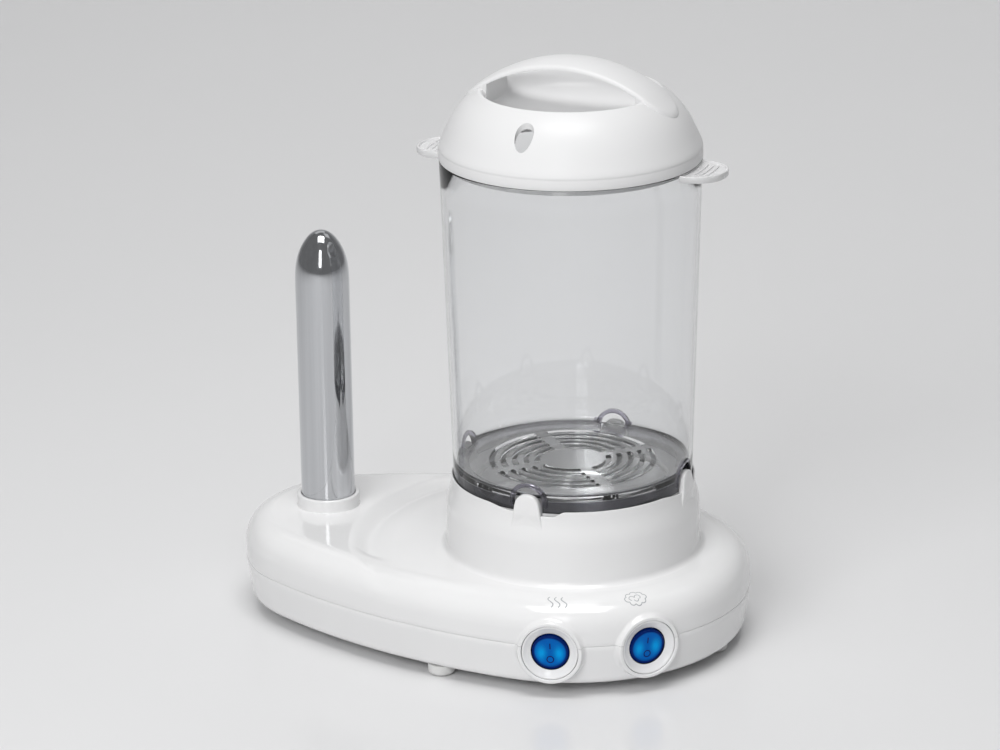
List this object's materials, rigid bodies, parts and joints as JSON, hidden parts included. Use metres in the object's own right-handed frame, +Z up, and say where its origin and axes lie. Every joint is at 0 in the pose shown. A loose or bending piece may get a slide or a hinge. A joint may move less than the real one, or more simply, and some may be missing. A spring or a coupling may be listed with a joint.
{
  "type": "hot dog toaster",
  "caption": "Tabletop hot dog toaster: steam container with lift-off lid on a round collar, heated bread spike on a raised platform, rocker switches in front.",
  "frame": {"origin": "centre of the bounding box at the level of the feet", "axes": "+X from the bread spike to the container, +Y to the back, +Z up; the switches face -Y"},
  "size_m": [0.2822, 0.1938, 0.3155],
  "materials": {
    "white_gloss": "glossy moulded white",
    "foot_white": "matt",
    "zinc_steel": "zinc plated",
    "dish_steel": "brushed",
    "seal_silicone": "matt silicone",
    "heater_alloy": "cast",
    "element_steel": "heat tinted",
    "black_phenolic": "matt",
    "spike_chrome": "polished",
    "white_ceramic": "fired ceramic, matt",
    "clear_container": "clear moulded plastic",
    "white_lid": "satin gloss white",
    "white_bezel": "glossy",
    "brass_terminal": "tinned brass",
    "lamp_glass": "clear",
    "rocker_blue": "translucent blue, glossy",
    "white_gland": "satin",
    "wire_insulation": "silicone insulation"
  },
  "bodies": {
    "base": {"base_bottom_cover": "white_gloss", "base_feet": "foot_white", "base_screws": "zinc_steel", "base_top_cover": "white_gloss", "bezel_left": "white_bezel", "bezel_right": "white_bezel", "clamp_screws": "zinc_steel", "cord_clamp": "white_gland", "cord_gland": "white_gland", "dish_gasket": "seal_silicone", "fuse_clip": "zinc_steel", "heater_dish": "dish_steel", "heater_plate": "heater_alloy", "heater_strap": "zinc_steel", "heating_element": "element_steel", "internal_wires": "wire_insulation", "lamp_left": "lamp_glass", "lamp_right": "lamp_glass", "spike_bracket": "zinc_steel", "spike_collar": "white_gloss", "spike_heater": "white_ceramic", "spike_screws": "zinc_steel", "spike_tube": "spike_chrome", "strap_screws": "zinc_steel", "switch_body_left": "black_phenolic", "switch_body_right": "black_phenolic", "switch_terminals_left": "brass_terminal", "switch_terminals_right": "brass_terminal", "terminal_block": "white_gland", "terminal_screws": "zinc_steel", "thermal_fuse": "zinc_steel", "thermostat": "black_phenolic"},
    "container": {"container": "clear_container"},
    "lid": {"lid_shell": "white_lid", "lid_handle": "white_lid"},
    "rocker_left": {"rocker_left": "rocker_blue"},
    "rocker_right": {"rocker_right": "rocker_blue"}
  },
  "joints": [
    {"name": "container_lift", "type": "slide", "parent": "base", "child": "container", "axis": [0, 0, 1], "range_m": [0, 0.12]},
    {"name": "lid_lift", "type": "slide", "parent": "container", "child": "lid", "axis": [0, 0, 1], "range_m": [0, 0.09]},
    {"name": "rocker_left_tilt", "type": "hinge", "parent": "base", "child": "rocker_left", "pos_m": [0.06887, -0.08803, 0.0252], "axis": [-0.9694, -0.2453, 0], "range_deg": [0, 16]},
    {"name": "rocker_right_tilt", "type": "hinge", "parent": "base", "child": "rocker_right", "pos_m": [0.11159, -0.06342, 0.0252], "axis": [-0.6984, -0.7157, 0], "range_deg": [0, 16]}
  ]
}
